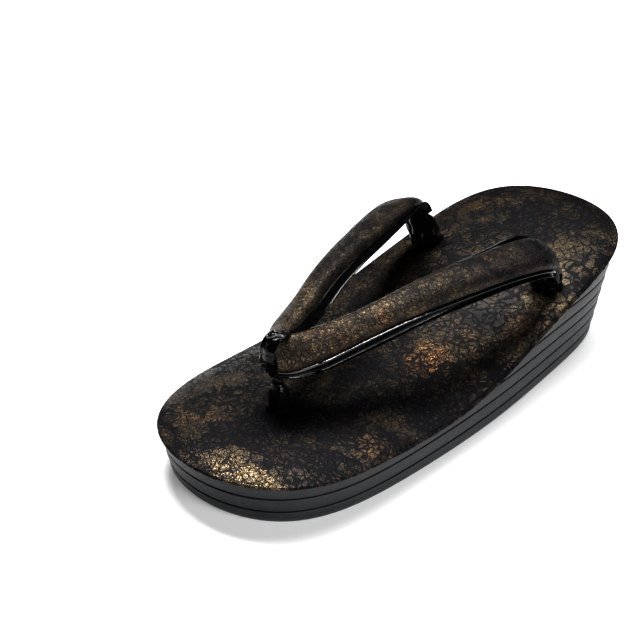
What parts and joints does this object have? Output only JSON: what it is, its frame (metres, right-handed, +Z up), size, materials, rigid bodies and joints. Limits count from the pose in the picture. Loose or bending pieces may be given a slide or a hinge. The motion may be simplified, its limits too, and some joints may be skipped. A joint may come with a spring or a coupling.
{
  "type": "zori sandal",
  "caption": "Flat-soled wedge sandal with a grooved moulded sole, a leather-covered insole, padded V-shaped straps and a toe post.",
  "frame": {"origin": "middle of the sandal's box, on the floor", "axes": "+Z up, toe towards -Y, X across the foot"},
  "size_m": [0.0972, 0.245, 0.0644],
  "materials": {
    "sole": "satin, fine grain",
    "insole": "crackled bronze leather",
    "upper": "crackled bronze leather",
    "strap_lining": "patent gloss",
    "toe_post": "patent gloss"
  },
  "bodies": {
    "root": {"sole": "sole", "insole": "insole", "upper": "upper", "strap_lining": "strap_lining", "toe_post": "toe_post"}
  },
  "joints": []
}
